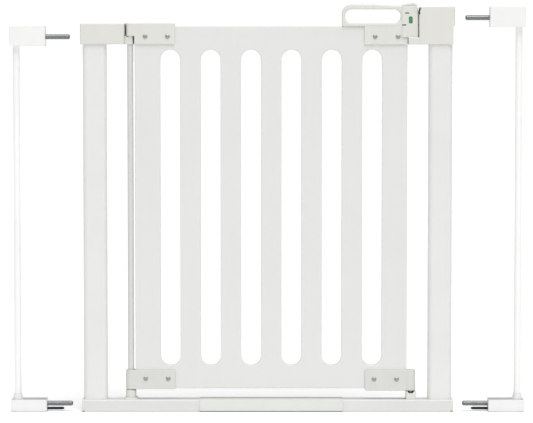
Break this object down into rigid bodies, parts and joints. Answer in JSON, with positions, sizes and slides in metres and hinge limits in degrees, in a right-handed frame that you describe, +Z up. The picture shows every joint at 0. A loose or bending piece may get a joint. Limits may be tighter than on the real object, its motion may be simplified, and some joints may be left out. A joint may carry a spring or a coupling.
{
  "type": "safety baby gate",
  "caption": "Walk-through safety gate: steel U-frame, slatted white leaf that lifts and swings, thumb-slide latch with carrying loop, and plug-in width extensions.",
  "frame": {"origin": "on the floor, under the middle of the gate and the middle of its depth", "axes": "+X along the gate from hinge to latch, -Y the front that the picture shows, +Z up"},
  "size_m": [1.001, 0.042, 0.7964],
  "materials": {
    "white_powder_coat": "satin white powder coat",
    "white_moulding": "fine satin white moulding",
    "nylon": "natural nylon",
    "black_rubber": "matt black rubber",
    "painted_board": "board with rounded edges under satin white paint",
    "bright_steel": "zinc-plated steel",
    "green_flag": "green plastic",
    "red_flag": "red plastic",
    "clear_window": "clear polycarbonate"
  },
  "bodies": {
    "frame": {"bottom_bar": "white_powder_coat", "left_post": "white_powder_coat", "right_post": "white_powder_coat", "left_bar_plug": "white_moulding", "right_bar_plug": "white_moulding", "hinge_cap": "white_moulding", "latch_housing": "white_moulding", "seam_seal": "black_rubber", "hinge_rod": "white_powder_coat", "upper_pivot_pin": "bright_steel", "lower_hinge_bush": "white_moulding", "bottom_keeper": "white_moulding", "threshold_cover": "white_moulding"},
    "hinge_sleeves": {"lower_hinge_sleeve": "nylon", "upper_hinge_sleeve": "nylon"},
    "leaf": {"panel": "painted_board", "top_hinge_bracket": "white_moulding", "bottom_hinge_bracket": "white_moulding", "bottom_latch_bracket": "white_moulding", "drop_pin": "bright_steel", "panel_screws": "bright_steel", "panel_nuts": "bright_steel", "latch_front_cover": "white_moulding", "latch_rear_cover": "white_moulding", "indicator_window": "clear_window", "bolt_spring": "bright_steel"},
    "latch_slide": {"latch_bolt": "white_moulding", "thumb_slide": "white_moulding", "locked_flag": "green_flag", "open_flag": "red_flag"},
    "left_extension": {"left_extension_tube": "white_powder_coat", "left_extension_top_box": "white_moulding", "left_extension_bottom_box": "white_moulding", "left_extension_top_peg": "bright_steel", "left_extension_bottom_peg": "bright_steel", "left_extension_locating_pin": "bright_steel"},
    "right_extension": {"right_extension_tube": "white_powder_coat", "right_extension_top_box": "white_moulding", "right_extension_bottom_box": "white_moulding", "right_extension_top_peg": "bright_steel", "right_extension_bottom_peg": "bright_steel", "right_extension_locating_pin": "bright_steel"}
  },
  "joints": [
    {"name": "leaf_lift", "type": "slide", "parent": "frame", "child": "hinge_sleeves", "axis": [0, 0, 1], "range_m": [0, 0.012]},
    {"name": "leaf_swing", "type": "hinge", "parent": "hinge_sleeves", "child": "leaf", "pos_m": [-0.267, 0, 0.4], "axis": [0, 0, 1], "range_deg": [-90, 90]},
    {"name": "latch_draw", "type": "slide", "parent": "leaf", "child": "latch_slide", "axis": [-1, 0, 0], "range_m": [0, 0.01], "stiffness_N_per_m": 300, "springref_m": -0.01, "deforming": ["bolt_spring"]},
    {"name": "left_extension_slide", "type": "slide", "parent": "frame", "child": "left_extension", "axis": [1, 0, 0], "range_m": [0, 0.0672]},
    {"name": "right_extension_slide", "type": "slide", "parent": "frame", "child": "right_extension", "axis": [-1, 0, 0], "range_m": [0, 0.0672]}
  ]
}
